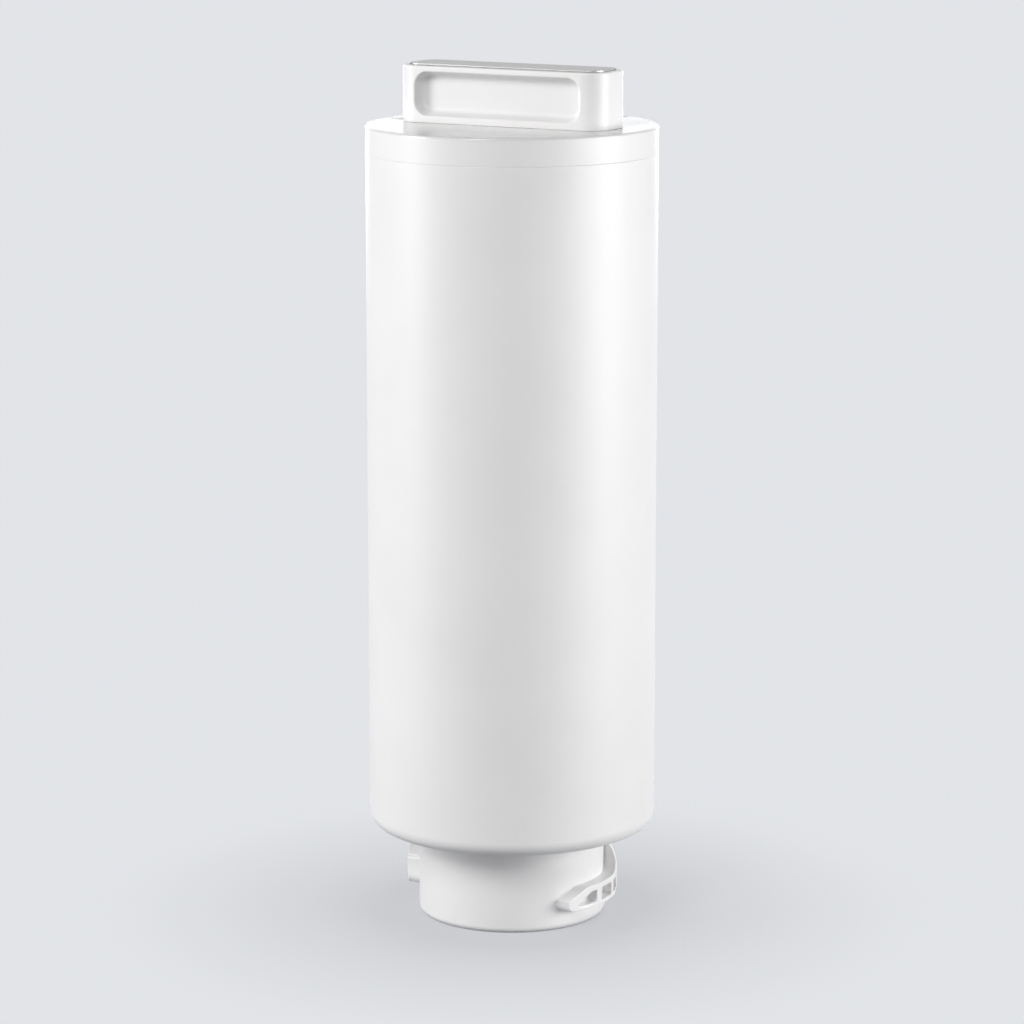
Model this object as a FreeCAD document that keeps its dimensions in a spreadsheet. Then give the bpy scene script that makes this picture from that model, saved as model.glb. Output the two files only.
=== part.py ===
"""Reverse osmosis filter cartridge with a twist-in bayonet neck and a grip on its cap.

Frame: millimetres, +Z up, origin at the middle of the neck's rim, on which the cartridge stands.
The grip lies along X. Seen from above, the cartridge is locked in its head by turning it
counter-clockwise, which is the way that the bayonet lugs climb.
"""
import FreeCAD, Part
import math
import os
import re

import Sketcher
from FreeCAD import Placement, Rotation, Vector

# Driving dimensions, in millimetres and degrees. Each is written here and nowhere else.
SIZES = {
    # Barrel: the pressure shell, with the neck moulded on
    "barrel_radius": 55.0,
    "barrel_wall": 3.5,
    "barrel_length": 259.5,
    "shoulder_radius": 5.5,
    "floor_thickness": 5.0,
    "floor_haunch": 4.0,
    "neck_radius": 36.0,
    "neck_wall": 3.6,
    "neck_height": 35.0,
    "neck_rim_radius": 2.2,
    # Bayonet lugs, drawn flat as the mould's slide sees them
    "lug_count": 2,
    "lug_turn": -3.0,
    "lug_reach": 5.0,
    "lug_base": 7.7,
    "lug_width": 36.0,
    "lug_tip_height": 4.4,
    "lug_height": 8.7,
    "lug_ramp_run": 9.0,
    "lug_bend_radius": 6.0,
    "lug_toe_radius": 2.0,
    "lug_heel_radius": 4.5,
    "lug_edge_radius": 0.4,
    "stop_thickness": 3.5,
    "stop_rise": 5.9,
    "stop_hollow_radius": 3.8,
    "stop_crown_radius": 2.8,
    "pocket_rim": 1.6,
    "pocket_height": 4.8,
    "pocket_floor": 1.0,
    "first_pocket_width": 9.7,
    "first_pocket_tip": 1.2,
    "first_pocket_shoulder": 3.2,
    "first_pocket_crown_radius": 4.0,
    "first_pocket_rib": 3.3,
    "second_pocket_width": 8.7,
    "second_pocket_rib": 2.2,
    "third_pocket_width": 5.0,
    "third_pocket_rib": 2.4,
    "pocket_corner_radius": 0.6,
    # Welded cap
    "cap_height": 10.5,
    "cap_thickness": 5.0,
    "cap_edge_radius": 0.6,
    "tongue_height": 5.0,
    "tongue_thickness": 1.6,
    "weld_clearance": 0.1,
    "press_rib_count": 6,
    "press_rib_height": 8.0,
    "press_rib_turn": 30.0,
    "press_rib_thickness": 2.5,
    "press_rib_inset": 1.2,
    "press_rib_hub": 18.0,
    "pip_radius": 3.2,
    "pip_height": 0.4,
    "pip_margin": 2.8,
    "notch_margin": 1.9,
    "notch_turn": 63.0,
    "notch_radius": 1.6,
    "notch_depth": 0.5,
    # Grip
    "grip_length": 87.5,
    "grip_width": 24.5,
    "grip_height": 22.0,
    "grip_corner_radius": 8.5,
    "grip_edge_radius": 0.7,
    "recess_length": 70.5,
    "recess_height": 16.7,
    "recess_margin": 2.7,
    "recess_depth": 3.0,
    "recess_corner_radius": 5.5,
    "recess_floor_radius": 2.8,
    "grip_wall": 2.6,
    "grip_end_wall": 4.0,
    "grip_roof": 3.0,
    "core_corner_radius": 3.0,
    "grip_rib_thickness": 1.8,
    "grip_rib_spacing": 12.0,
    # Cover strip on the grip
    "inlay_inset": 2.5,
    "inlay_thickness": 1.0,
    "inlay_sink": 0.1,
    "inlay_clearance": 0.15,
    # Screws that hold the grip, under the cover strip
    "screw_spacing": 60.0,
    "screw_radius": 2.0,
    "screw_head_radius": 3.6,
    "screw_head_height": 2.4,
    "screw_clearance": 0.1,
    "screw_socket_radius": 1.3,
    "screw_socket_depth": 1.4,
    "head_clearance": 0.4,
    "grip_boss_radius": 5.0,
    "grip_boss_height": 10.0,
    "screw_depth": 8.5,
    "cap_boss_radius": 4.6,
    "cap_boss_floor": 2.0,
    "cap_hole_spare": 0.8,
    # Port stem: three tubes one inside the other, each a step shorter than the next one in
    "stem_setback": 2.0,
    "permeate_step": 11.5,
    "concentrate_step": 8.0,
    "stem_clearance": 0.15,
    "feed_tube_radius": 24.5,
    "feed_tube_wall": 2.6,
    "flange_width": 6.5,
    "flange_thickness": 4.0,
    "concentrate_tube_radius": 16.0,
    "concentrate_tube_wall": 3.0,
    "permeate_nozzle_radius": 8.0,
    "permeate_bore_radius": 5.0,
    "stem_web_count": 4,
    "stem_web_thickness": 2.4,
    "web_setback": 3.0,
    "web_root": 0.6,
    "lead_in": 1.0,
    # Sealing rings
    "port_ring_section": 2.6,
    "port_groove_depth": 1.9,
    "inner_ring_section": 1.8,
    "groove_play": 0.6,
    "groove_cut_spare": 1.0,
    "groove_offset": 4.2,
    "groove_pitch": 4.4,
    "flange_ring_radius": 28.0,
    "ring_touch": 0.02,
    # Membrane element
    "feed_gap": 3.9,
    "lap_thickness": 0.8,
    "wrap_thickness": 0.6,
    "tube_wall": 2.8,
    "tube_clearance": 0.2,
    "tube_stand_out": 1.0,
    "tube_overlap": 9.0,
    "tube_hole_radius": 1.6,
    "tube_hole_pitch": 40.0,
    "tube_hole_count": 5,
    "glue_gap": 0.05,
    "plug_depth": 9.0,
    "plug_head_thickness": 2.5,
    # End caps of the element
    "end_cap_wall": 1.9,
    "end_cap_ledge": 2.6,
    "end_cap_lap": 10.0,
    "end_cap_face": 4.0,
    "hub_wall": 3.0,
    "spoke_count": 6,
    "spoke_thickness": 2.4,
    "chamber_height": 8.0,
    "plate_thickness": 3.0,
    "plate_rise": 6.0,
    "socket_wall": 3.0,
    "socket_clearance": 0.2,
    "socket_stand_off": 3.0,
    "socket_depth": 7.0,
    "foot_thickness": 4.0,
    "foot_length": 9.0,
    "fin_thickness": 2.2,
    "fin_height": 12.0,
    "fin_clearance": 0.2,
}

# Levels and radii that follow from the driving dimensions.
SEATS = {
    "barrel_bore": "barrel_radius - barrel_wall",
    "floor_top": "neck_height + floor_thickness",
    "parting_level": "neck_height + barrel_length",
    "tongue_top": "parting_level + tongue_height",
    "tongue_radius": "barrel_bore + tongue_thickness",
    "neck_bore": "neck_radius - neck_wall",
    "cap_top": "parting_level + cap_height",
    "cap_under": "cap_top - cap_thickness",
    "pip_distance": "barrel_radius - pip_margin - pip_radius",
    "notch_distance": "barrel_radius - notch_margin - notch_radius",
    "lug_radius": "neck_radius + lug_reach",
    "stop_crown": "min(stop_crown_radius; stop_thickness - 1.5 * lug_edge_radius)",
    "grip_top": "cap_top + grip_height",
    "inlay_seat": "grip_top - inlay_thickness - inlay_sink",
    "inlay_length": "grip_length - 2 * inlay_inset",
    "inlay_width": "grip_width - 2 * inlay_inset",
    "inlay_corner_radius": "grip_corner_radius - inlay_inset",
    "core_width": "grip_width - 2 * recess_depth - 2 * grip_wall",
    "core_length": "grip_length - 2 * grip_end_wall",
    "core_top": "inlay_seat - grip_roof",
    "head_seat": "cap_top + grip_boss_height",
    "screw_end": "cap_top - screw_depth",
    "cap_boss_end": "screw_end - cap_hole_spare - cap_boss_floor",
    "concentrate_tip": "stem_setback + permeate_step",
    "feed_tip": "concentrate_tip + concentrate_step",
    "flange_top": "floor_top + flange_thickness",
    "flange_radius": "feed_tube_radius + flange_width",
    "socket_bore": "concentrate_tube_radius + socket_clearance",
    "socket_base": "flange_top + socket_stand_off",
    "socket_top": "socket_base + socket_depth",
    "spoke_base": "socket_top + chamber_height",
    "roll_base": "spoke_base + end_cap_face",
    "element_top": "cap_under - press_rib_height",
    "roll_top": "element_top - end_cap_face",
    "roll_length": "roll_top - roll_base",
    "tube_bore": "permeate_nozzle_radius + tube_clearance",
    "tube_radius": "tube_bore + tube_wall",
    "tube_base": "roll_base - tube_overlap",
    "tube_top": "element_top + tube_stand_out",
    "cup_radius": "barrel_bore - feed_gap",
    "cup_bore": "cup_radius - end_cap_wall",
    "wrap_radius": "cup_bore - glue_gap",
    "roll_radius": "wrap_radius - wrap_thickness - glue_gap",
    "ledge_bore": "cup_bore - end_cap_ledge",
    "hub_bore": "tube_radius + glue_gap",
    "hub_radius": "hub_bore + hub_wall",
}

doc = FreeCAD.newDocument("FilterCartridge")


def fill_sheet(name, cells):
    """A sheet with one row for each value: its alias in column A and the value in column B."""
    sheet = doc.addObject("Spreadsheet::Sheet", name)
    for row, (alias, content) in enumerate(cells.items(), 1):
        sheet.set("A%d" % row, alias)
        sheet.set("B%d" % row, content)
        sheet.setAlias("B%d" % row, alias)
    doc.recompute()
    return sheet


def bound(expression):
    """The expression with each alias led by the name of the sheet that holds it."""
    def with_sheet(word):
        alias = word.group()
        if alias in SIZES:
            return "Sizes." + alias
        return "Seats." + alias if alias in SEATS else alias
    return re.sub(r"[a-z][a-z_]*", with_sheet, expression)


sizes = fill_sheet("Sizes", {alias: str(number) for alias, number in SIZES.items()})
seats = fill_sheet("Seats", {alias: "=" + bound(rule) for alias, rule in SEATS.items()})


def value(expression):
    """What an expression in the sheets' aliases comes to."""
    return float(sizes.evalExpression(bound(expression)))


def bind(thing, **rules):
    """Ties properties of an object to expressions in the sheets' aliases."""
    for name, rule in rules.items():
        thing.setExpression(name.replace("__", "."), bound(rule))


def new_body(label):
    body = doc.addObject("PartDesign::Body", label)
    body.Label = label
    body.AllowCompound = True
    return body


def origin_of(body, role):
    """One of a body's own origin planes or axes."""
    return next(item for item in body.Origin.OriginFeatures if item.Role == role)


def new_sketch(body, plane, offset="0", turn=None):
    """A sketch on one of the body's origin planes, moved along its normal and turned about its upright."""
    sketch = body.newObject("Sketcher::SketchObject", body.Label + "_outline")
    sketch.AttachmentSupport = (origin_of(body, plane), [""])
    sketch.MapMode = "FlatFace"
    if turn is not None:
        upright = Vector(0, 0, 1) if plane == "XY_Plane" else Vector(0, 1, 0)
        sketch.AttachmentOffset = Placement(Vector(), Rotation(upright, 1.0))
        bind(sketch, AttachmentOffset__Rotation__Angle=turn)
    bind(sketch, AttachmentOffset__Base__z=offset)
    return sketch


def pin_point(sketch, geometry, end, place):
    """Holds a point of the sketch at the place that two expressions give."""
    for kind, axis, rule in (("DistanceX", -2, place[0]), ("DistanceY", -1, place[1])):
        if rule == "0":
            sketch.addConstraint(Sketcher.Constraint("PointOnObject", geometry, end, axis))
            continue
        index = sketch.addConstraint(Sketcher.Constraint(kind, -1, 1, geometry, end, value(rule)))
        sketch.setExpression("Constraints[%d]" % index, bound(rule))


def draw_outline(sketch, corners):
    """A closed outline of straight sides. A corner is (x, y) or (x, y, radius), all expressions.

    A round corner keeps its own point, through which both its sides would run, and a tangent arc.
    """
    points = [Vector(value(corner[0]), value(corner[1]), 0) for corner in corners]
    radii = [value(corner[2]) if len(corner) > 2 else 0.0 for corner in corners]
    count = len(corners)
    starts, ends = [None] * count, [None] * count
    for i, point in enumerate(points):
        before = (points[i - 1] - point).normalize()
        after = (points[(i + 1) % count] - point).normalize()
        reach = radii[i] / math.tan(before.getAngle(after) / 2) if radii[i] else 0.0
        ends[i - 1] = point + before * reach
        starts[i] = point + after * reach
    sides = [sketch.addGeometry(Part.LineSegment(starts[i], ends[i])) for i in range(count)]
    for i, corner in enumerate(corners):
        last, side = sides[i - 1], sides[i]
        if not radii[i]:
            sketch.addConstraint(Sketcher.Constraint("Coincident", last, 2, side, 1))
            pin_point(sketch, side, 1, corner)
            continue
        mark = sketch.addGeometry(Part.Point(points[i]), True)
        pin_point(sketch, mark, 1, corner)
        inward = ((ends[i - 1] - points[i]) + (starts[i] - points[i])).normalize()
        half = (ends[i - 1] - points[i]).getAngle(inward)
        middle = points[i] + inward * (radii[i] / math.sin(half) - radii[i])
        arc = sketch.addGeometry(Part.Arc(ends[i - 1], middle, starts[i]))
        flat = (ends[i - 1] - points[i]).cross(starts[i] - points[i])
        first, second = (1, 2) if flat.z < 0 else (2, 1)
        sketch.addConstraint(Sketcher.Constraint("Tangent", last, 2, arc, first))
        sketch.addConstraint(Sketcher.Constraint("Tangent", side, 1, arc, second))
        sketch.addConstraint(Sketcher.Constraint("PointOnObject", mark, 1, last))
        sketch.addConstraint(Sketcher.Constraint("PointOnObject", mark, 1, side))
        index = sketch.addConstraint(Sketcher.Constraint("Radius", arc, radii[i]))
        sketch.setExpression("Constraints[%d]" % index, bound(corner[2]))


def draw_circle(sketch, x, y, radius):
    centre = Vector(value(x), value(y), 0)
    ring = sketch.addGeometry(Part.Circle(centre, Vector(0, 0, 1), value(radius)))
    pin_point(sketch, ring, 3, (x, y))
    index = sketch.addConstraint(Sketcher.Constraint("Radius", ring, value(radius)))
    sketch.setExpression("Constraints[%d]" % index, bound(radius))


def rounded_rectangle(length, width, radius, foot="0", lift=None):
    """Corners of a rectangle centred on the upright axis: its foot at a height, or centred on zero."""
    half = "(%s) / 2" % length
    low, high = ("-(%s) / 2" % width, "(%s) / 2" % width) if lift is None else (foot, lift)
    return [("-" + half, low, radius), (half, low, radius), (half, high, radius), ("-" + half, high, radius)]


def feature(body, kind, sketch, **rules):
    """A feature of the body made from a sketch, with its sizes tied to the sheets."""
    made = body.newObject("PartDesign::" + kind, body.Label + "_" + kind.lower())
    made.Profile = sketch
    bind(made, **rules)
    return made


def revolve(body, *outlines):
    """Turns outlines of (radius, height) corners about the upright axis."""
    sketch = new_sketch(body, "XZ_Plane")
    for outline in outlines:
        draw_outline(sketch, outline)
    made = feature(body, "Revolution", sketch)
    made.ReferenceAxis = (origin_of(body, "Z_Axis"), [""])
    made.Angle = 360
    doc.recompute()
    return made


def groove(body, *outlines):
    """Turns outlines of (radius, height) corners out of the body."""
    sketch = new_sketch(body, "XZ_Plane")
    for outline in outlines:
        draw_outline(sketch, outline)
    made = feature(body, "Groove", sketch)
    made.ReferenceAxis = (origin_of(body, "Z_Axis"), [""])
    made.Angle = 360
    return made


def pad(body, corners, foot, height, turn=None, plane="XY_Plane"):
    """Raises an outline from a level by a height."""
    sketch = new_sketch(body, plane, foot, turn)
    draw_outline(sketch, corners)
    return feature(body, "Pad", sketch, Length=height)


def pocket(body, corners, level, depth, upward=False, plane="XY_Plane"):
    """Sinks an outline into the body from a level."""
    sketch = new_sketch(body, plane, level)
    draw_outline(sketch, corners)
    made = feature(body, "Pocket", sketch, Length=depth)
    made.Reversed = upward
    return made


def drill(body, centres, radius, level, depth, plane="XY_Plane"):
    """Sinks round holes of one size into the body from a level."""
    sketch = new_sketch(body, plane, level)
    for x, y in centres:
        draw_circle(sketch, x, y, radius)
    return feature(body, "Pocket", sketch, Length=depth)


def repeat_round(body, original, count):
    """Repeats a feature evenly about the upright axis."""
    made = body.newObject("PartDesign::PolarPattern", body.Label + "_pattern")
    made.Originals = [original]
    made.Axis = (origin_of(body, "Z_Axis"), [""])
    made.Angle = 360
    bind(made, Occurrences=count)
    body.Tip = made
    return made


def repeat_up(body, original, count, length):
    """Repeats a feature evenly over a length of the upright axis."""
    made = body.newObject("PartDesign::LinearPattern", body.Label + "_row")
    made.Originals = [original]
    made.Direction = (origin_of(body, "Z_Axis"), [""])
    bind(made, Occurrences=count, Length=length)
    body.Tip = made
    return made


def mirror(body, original, plane):
    made = body.newObject("PartDesign::Mirrored", body.Label + "_mirror")
    made.Originals = [original]
    made.MirrorPlane = (origin_of(body, plane), [""])
    body.Tip = made
    return made


def round_edges(body, radius, test):
    """Rounds the edges of the body's last feature whose points all pass a test."""
    doc.recompute()
    base = body.Tip
    names = ["Edge%d" % (i + 1) for i, edge in enumerate(base.Shape.Edges)
             if all(test(point) for point in edge.discretize(5))]
    made = body.newObject("PartDesign::Fillet", body.Label + "_fillet")
    made.Base = (base, names)
    bind(made, Radius=radius)
    return made


def near(a, b):
    return abs(a - b) < 1e-4


def radial_bar(inner, outer, thickness):
    """Corners of a bar that runs outwards along X from one radius to another."""
    half = "(%s) / 2" % thickness
    return [(inner, "-" + half), (outer, "-" + half), (outer, half), (inner, half)]


def block(radius_a, radius_b, low, high):
    """Corners of a rectangle between two radii and two heights."""
    return [(radius_a, low), (radius_b, low), (radius_b, high), (radius_a, high)]


def make_bayonet_lugs():
    """Both lugs, each drawn flat on the plane that the mould's slide leaves along, then trimmed
    to the round. A lug climbs from its low tip to a level top and ends in an upright stop."""
    body = new_body("bayonet_lugs")
    top = "lug_base + lug_height"
    stop_top = "lug_base + lug_height + stop_rise"
    tip, end = "-lug_width / 2", "lug_width / 2"
    hollow = "lug_width / 2 - stop_thickness"
    lug = pad(body, [
        (tip, "lug_base", "lug_toe_radius"),
        (end, "lug_base", "lug_heel_radius"),
        (end, stop_top, "stop_crown"),
        (hollow, stop_top, "lug_edge_radius"),
        (hollow, top, "stop_hollow_radius"),
        ("-lug_width / 2 + lug_ramp_run", top, "lug_bend_radius"),
        (tip, "lug_base + lug_tip_height", "lug_edge_radius"),
    ], "0", "lug_radius + lug_reach", "lug_turn", "YZ_Plane")
    repeat_round(body, lug, "lug_count")
    groove(body, block("lug_radius", "lug_radius + lug_reach + lug_width", "0", "neck_height"))
    groove(body, block("0", "neck_radius - neck_wall / 2", "0", "neck_height"))
    return body


def make_lug_pockets():
    """The three hollows that core out each lug from its outer face, down to a round floor."""
    body = new_body("lug_pockets")
    sketch = new_sketch(body, "YZ_Plane", "0", "lug_turn")
    low, high = "lug_base + pocket_rim", "lug_base + pocket_rim + pocket_height"
    third_end = "lug_width / 2 - third_pocket_rib"
    third = third_end + " - third_pocket_width"
    second_end = third + " - second_pocket_rib"
    second = second_end + " - second_pocket_width"
    first_end = second + " - first_pocket_rib"
    first = first_end + " - first_pocket_width"
    draw_outline(sketch, [
        (first, low, "pocket_corner_radius"),
        (first_end, low, "pocket_corner_radius"),
        (first_end, high, "pocket_corner_radius"),
        (first_end + " - first_pocket_shoulder", high, "first_pocket_crown_radius"),
        (first, low + " + first_pocket_tip", "pocket_corner_radius"),
    ])
    for start, stop in ((second, second_end), (third, third_end)):
        draw_outline(sketch, [(x, y, "pocket_corner_radius") for x, y in block(start, stop, low, high)])
    hollows = feature(body, "Pad", sketch, Length="lug_radius + lug_reach")
    repeat_round(body, hollows, "lug_count")
    groove(body, block("0", "neck_radius + pocket_floor", "0", "neck_height"))
    return body


def make_barrel():
    """Shell, floor and neck turned in one, with the lugs on the neck and a hole for the port stem."""
    shell = new_body("barrel_shell")
    revolve(shell, [
        ("neck_bore", "0"),
        ("neck_radius", "0", "neck_rim_radius"),
        ("neck_radius", "neck_height"),
        ("barrel_radius", "neck_height", "shoulder_radius"),
        ("barrel_radius", "parting_level"),
        ("tongue_radius", "parting_level"),
        ("tongue_radius", "tongue_top"),
        ("barrel_bore", "tongue_top"),
        ("barrel_bore", "floor_top + floor_haunch"),
        ("barrel_bore - floor_haunch", "floor_top"),
        ("feed_tube_radius + stem_clearance", "floor_top"),
        ("feed_tube_radius + stem_clearance", "neck_height"),
        ("neck_bore", "neck_height"),
    ])
    lugs, pockets = make_bayonet_lugs(), make_lug_pockets()
    cored = doc.addObject("Part::Cut", "cored_lugs")
    cored.Base, cored.Tool = lugs, pockets
    barrel = doc.addObject("Part::MultiFuse", "barrel")
    barrel.Shapes = [shell, cored]
    barrel.Refine = True
    return barrel


def make_top_cap():
    """Lid welded over the barrel's tongue, with blind bosses for the grip's screws. Ribs under it
    press the membrane element down and let the feed water pass between them."""
    body = new_body("top_cap")
    revolve(body, [
        ("0", "cap_under"),
        ("tongue_radius + weld_clearance", "cap_under"),
        ("tongue_radius + weld_clearance", "parting_level"),
        ("barrel_radius", "parting_level"),
        ("barrel_radius", "cap_top", "cap_edge_radius"),
        ("0", "cap_top"),
    ])
    rib = pad(body, radial_bar("press_rib_hub", "barrel_bore - press_rib_inset", "press_rib_thickness"),
              "element_top", "press_rib_height", "press_rib_turn")
    repeat_round(body, rib, "press_rib_count")
    sketch = new_sketch(body, "XY_Plane", "cap_boss_end")
    for x in ("screw_spacing / 2", "-screw_spacing / 2"):
        draw_circle(sketch, x, "0", "cap_boss_radius")
    feature(body, "Pad", sketch, Length="cap_under - cap_boss_end")
    screw_places = [("screw_spacing / 2", "0"), ("-screw_spacing / 2", "0")]
    drill(body, screw_places, "screw_radius + screw_clearance", "cap_top", "screw_depth + cap_hole_spare")
    pip = new_sketch(body, "XY_Plane", "cap_top")
    draw_circle(pip, "-pip_distance", "0", "pip_radius")
    feature(body, "Pad", pip, Length="pip_height")
    drill(body, [("notch_distance * cos(notch_turn * 1 deg)", "notch_distance * sin(notch_turn * 1 deg)")],
          "notch_radius", "cap_top", "notch_depth")
    return body


def make_grip():
    """Hollow moulded grip with a finger recess in each long side, cored out and ribbed from below."""
    body = new_body("grip")
    pad(body, rounded_rectangle("grip_length", "grip_width", "grip_corner_radius"), "cap_top", "grip_height")
    top = value("grip_top")
    round_edges(body, "grip_edge_radius", lambda point: near(point.z, top))
    recess = pocket(body, rounded_rectangle(
        "recess_length", "recess_height", "recess_corner_radius",
        "grip_top - recess_margin - recess_height", "grip_top - recess_margin"),
        "grip_width / 2", "recess_depth", plane="XZ_Plane")
    mirror(body, recess, "XZ_Plane")
    floor = value("grip_width / 2 - recess_depth")
    round_edges(body, "recess_floor_radius", lambda point: near(abs(point.y), floor))
    pocket(body, rounded_rectangle("inlay_length", "inlay_width", "inlay_corner_radius"),
           "grip_top", "inlay_thickness + inlay_sink")
    pocket(body, rounded_rectangle("core_length", "core_width", "core_corner_radius"),
           "cap_top", "core_top - cap_top", upward=True)
    for step in ("-grip_rib_spacing", "0", "grip_rib_spacing"):
        near_side, far_side = step + " - grip_rib_thickness / 2", step + " + grip_rib_thickness / 2"
        pad(body, block(near_side, far_side, "-core_width / 2 - grip_wall / 2", "core_width / 2 + grip_wall / 2"),
            "cap_top + grip_rib_thickness", "core_top - cap_top")
    screw_places = [("screw_spacing / 2", "0"), ("-screw_spacing / 2", "0")]
    bosses = new_sketch(body, "XY_Plane", "cap_top")
    for x, y in screw_places:
        draw_circle(bosses, x, y, "grip_boss_radius")
    feature(body, "Pad", bosses, Length="core_top + grip_roof / 2 - cap_top")
    drill(body, screw_places, "screw_head_radius + head_clearance", "inlay_seat", "inlay_seat - head_seat")
    drill(body, screw_places, "screw_radius + screw_clearance", "head_seat", "head_seat - cap_top")
    return body


def make_inlay():
    """Cover strip that lies in the grip's top and hides its screws."""
    body = new_body("grip_inlay")
    pad(body, rounded_rectangle("inlay_length - 2 * inlay_clearance", "inlay_width - 2 * inlay_clearance",
                                "inlay_corner_radius - inlay_clearance"), "inlay_seat", "inlay_thickness")
    return body


def make_screw(side):
    """Cap screw with a round socket in its head. Its thread is left plain."""
    body = new_body("grip_screw_" + side)
    revolve(body, [
        ("0", "screw_end"),
        ("screw_radius", "screw_end"),
        ("screw_radius", "head_seat"),
        ("screw_head_radius", "head_seat"),
        ("screw_head_radius", "head_seat + screw_head_height"),
        ("screw_socket_radius", "head_seat + screw_head_height"),
        ("screw_socket_radius", "head_seat + screw_head_height - screw_socket_depth"),
        ("0", "head_seat + screw_head_height - screw_socket_depth"),
    ])
    bind(body, Placement__Base__x="screw_spacing / 2" if side == "right" else "-screw_spacing / 2")
    return body


def make_screws():
    """Both screws of the grip, as one group."""
    group = doc.addObject("Part::Compound", "grip_screws")
    group.Links = [make_screw("right"), make_screw("left")]
    return group


def ring_groove(surface, depth, section, level):
    """Outline of a groove of some depth, centred on a level, for a ring of some section."""
    half = "(%s + groove_play) / 2" % section
    floor = "%s - (%s)" % (surface, depth)
    mouth = surface + " + groove_cut_spare"
    return block(floor, mouth, "%s - %s" % (level, half), "%s + %s" % (level, half))


def stem_tube(bore, radius, tip, top):
    """Outline of one of the stem's tubes, chamfered to lead into its socket."""
    return [
        (bore, tip),
        (radius + " - lead_in", tip),
        (radius, tip + " + lead_in"),
        (radius, top + " - lead_in"),
        (radius + " - lead_in", top),
        (bore, top),
    ]


PORT_RINGS = {
    "feed_ring": ("feed_tube_radius", "feed_tip + groove_offset"),
    "concentrate_ring": ("concentrate_tube_radius", "concentrate_tip + groove_offset"),
    "permeate_ring_lower": ("permeate_nozzle_radius", "stem_setback + groove_offset"),
    "permeate_ring_upper": ("permeate_nozzle_radius", "stem_setback + groove_offset + groove_pitch"),
}
INNER_RINGS = {
    "socket_ring": ("socket_bore", "(socket_base + socket_top) / 2", "concentrate_tube_radius"),
    "tube_ring": ("tube_bore", "tube_base + groove_offset", "permeate_nozzle_radius"),
    "plug_ring": ("tube_bore", "tube_top - groove_offset", "permeate_nozzle_radius"),
}


def make_stem():
    """Port stem: feed, concentrate and permeate water each have a tube, with rings to seal it. Webs
    tie the tubes together, and the flange of the outer tube is welded down to the barrel's floor."""
    body = new_body("port_stem")
    revolve(
        body,
        [
            ("feed_tube_radius - feed_tube_wall", "feed_tip"),
            ("feed_tube_radius - lead_in", "feed_tip"),
            ("feed_tube_radius", "feed_tip + lead_in"),
            ("feed_tube_radius", "floor_top"),
            ("flange_radius", "floor_top"),
            ("flange_radius", "flange_top"),
            ("feed_tube_radius - feed_tube_wall", "flange_top"),
        ],
        stem_tube("concentrate_tube_radius - concentrate_tube_wall", "concentrate_tube_radius",
                  "concentrate_tip", "socket_top"),
        stem_tube("permeate_bore_radius", "permeate_nozzle_radius", "stem_setback", "roll_base"),
    )
    outer_web = pad(body, radial_bar("concentrate_tube_radius - web_root",
                                     "feed_tube_radius - feed_tube_wall + web_root", "stem_web_thickness"),
                    "feed_tip + web_setback", "flange_top - feed_tip - web_setback")
    repeat_round(body, outer_web, "stem_web_count")
    inner_web = pad(body, radial_bar("permeate_nozzle_radius - web_root",
                                     "concentrate_tube_radius - concentrate_tube_wall + web_root",
                                     "stem_web_thickness"),
                    "concentrate_tip + web_setback", "socket_base - concentrate_tip - web_setback")
    repeat_round(body, inner_web, "stem_web_count")
    for surface, level in PORT_RINGS.values():
        groove(body, ring_groove(surface, "port_groove_depth", "port_ring_section", level))
    for name in ("socket_ring", "tube_ring"):
        bore, level, surface = INNER_RINGS[name]
        depth = "%s - %s + inner_ring_section" % (surface, bore)
        groove(body, ring_groove(surface, depth, "inner_ring_section", level))
    half = "(inner_ring_section + groove_play) / 2"
    groove(body, block("flange_ring_radius - " + half, "flange_ring_radius + " + half,
                       "floor_top", "floor_top + inner_ring_section"))
    return body


def make_ring(name, radius, section, level):
    """Sealing ring of round section."""
    ring = doc.addObject("Part::Torus", name)
    bind(ring, Radius1=radius, Radius2="(%s) / 2" % section, Placement__Base__z=level)
    return ring


def make_rings():
    """Rings on the ports stand proud of their grooves. Those inside are squeezed to their gap."""
    rings = []
    for name, (surface, level) in PORT_RINGS.items():
        radius = surface + " - port_groove_depth + port_ring_section / 2 + ring_touch"
        rings.append(make_ring(name, radius, "port_ring_section", level))
    section = "inner_ring_section - 2 * ring_touch"
    for name, (bore, level, _) in INNER_RINGS.items():
        rings.append(make_ring(name, bore + " - inner_ring_section / 2", section, level))
    rings.append(make_ring("flange_ring", "flange_ring_radius", section, "floor_top + inner_ring_section / 2"))
    return rings


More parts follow.
